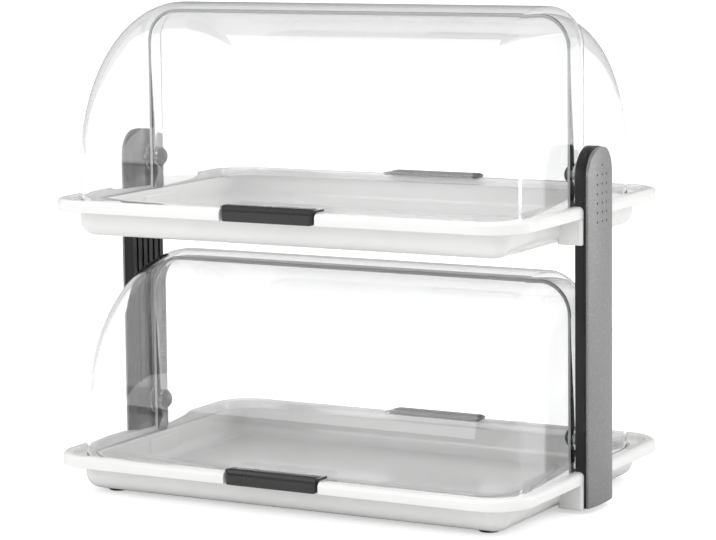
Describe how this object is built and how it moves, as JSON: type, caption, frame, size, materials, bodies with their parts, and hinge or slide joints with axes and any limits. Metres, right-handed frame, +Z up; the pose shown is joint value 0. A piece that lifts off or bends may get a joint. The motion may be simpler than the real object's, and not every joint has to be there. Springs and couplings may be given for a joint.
{
  "type": "countertop bread display bin",
  "caption": "Tiered countertop bread display bin: shallow trays between side columns, each under clear quarter-round hoods that roll open from the front and from the back.",
  "frame": {"origin": "table level, midway between the columns and midway between front and back", "axes": "+X to the right seen from the front, +Y to the back, +Z up"},
  "size_m": [0.4516, 0.308, 0.4115],
  "materials": {
    "white_plastic": "glossy pearl white",
    "clear_hood": "clear, polished",
    "clear_trim": "clear, moulded",
    "black_plastic": "satin black",
    "grey_cover": "satin metallic grey",
    "charcoal_plastic": "satin charcoal",
    "rivet_plastic": "plain",
    "steel": "turned",
    "foot_rubber": "matt"
  },
  "bodies": {
    "frame": {"lower_tray": "white_plastic", "upper_tray": "white_plastic", "left_cover": "grey_cover", "right_cover": "grey_cover", "left_plate": "black_plastic", "right_plate": "black_plastic", "left_lower_post": "black_plastic", "right_lower_post": "black_plastic", "left_head": "black_plastic", "right_head": "black_plastic", "rubber_feet": "foot_rubber", "tray_screws": "steel", "post_screws": "steel", "pivot_pins": "steel", "pivot_spacers": "clear_trim", "pivot_washers": "clear_trim", "hub_rings": "clear_trim"},
    "lower_front": {"lower_front_hood": "clear_hood", "lower_front_handle": "charcoal_plastic", "lower_front_rivets": "rivet_plastic"},
    "lower_back": {"lower_back_hood": "clear_hood", "lower_back_handle": "charcoal_plastic", "lower_back_rivets": "rivet_plastic"},
    "upper_front": {"upper_front_hood": "clear_hood", "upper_front_handle": "charcoal_plastic", "upper_front_rivets": "rivet_plastic"},
    "upper_back": {"upper_back_hood": "clear_hood", "upper_back_handle": "charcoal_plastic", "upper_back_rivets": "rivet_plastic"},
    "lower_left_knob_body": {"lower_left_knob": "charcoal_plastic"},
    "lower_right_knob_body": {"lower_right_knob": "charcoal_plastic"},
    "upper_left_knob_body": {"upper_left_knob": "charcoal_plastic"},
    "upper_right_knob_body": {"upper_right_knob": "charcoal_plastic"}
  },
  "joints": [
    {"name": "lower_front_hinge", "type": "hinge", "parent": "frame", "child": "lower_front", "pos_m": [0, 0, 0.058], "axis": [1, 0, 0], "range_deg": [-88, 0]},
    {"name": "lower_back_hinge", "type": "hinge", "parent": "frame", "child": "lower_back", "pos_m": [0, 0, 0.058], "axis": [1, 0, 0], "range_deg": [0, 88]},
    {"name": "upper_front_hinge", "type": "hinge", "parent": "frame", "child": "upper_front", "pos_m": [0, 0, 0.275], "axis": [1, 0, 0], "range_deg": [-88, 0]},
    {"name": "upper_back_hinge", "type": "hinge", "parent": "frame", "child": "upper_back", "pos_m": [0, 0, 0.275], "axis": [1, 0, 0], "range_deg": [0, 88]},
    {"name": "lower_left_knob_turn", "type": "hinge", "parent": "frame", "child": "lower_left_knob_body", "pos_m": [-0.1938, 0, 0.058], "axis": [1, 0, 0], "continuous": true},
    {"name": "lower_right_knob_turn", "type": "hinge", "parent": "frame", "child": "lower_right_knob_body", "pos_m": [0.1938, 0, 0.058], "axis": [1, 0, 0], "continuous": true},
    {"name": "upper_left_knob_turn", "type": "hinge", "parent": "frame", "child": "upper_left_knob_body", "pos_m": [-0.1938, 0, 0.275], "axis": [1, 0, 0], "continuous": true},
    {"name": "upper_right_knob_turn", "type": "hinge", "parent": "frame", "child": "upper_right_knob_body", "pos_m": [0.1938, 0, 0.275], "axis": [1, 0, 0], "continuous": true}
  ]
}
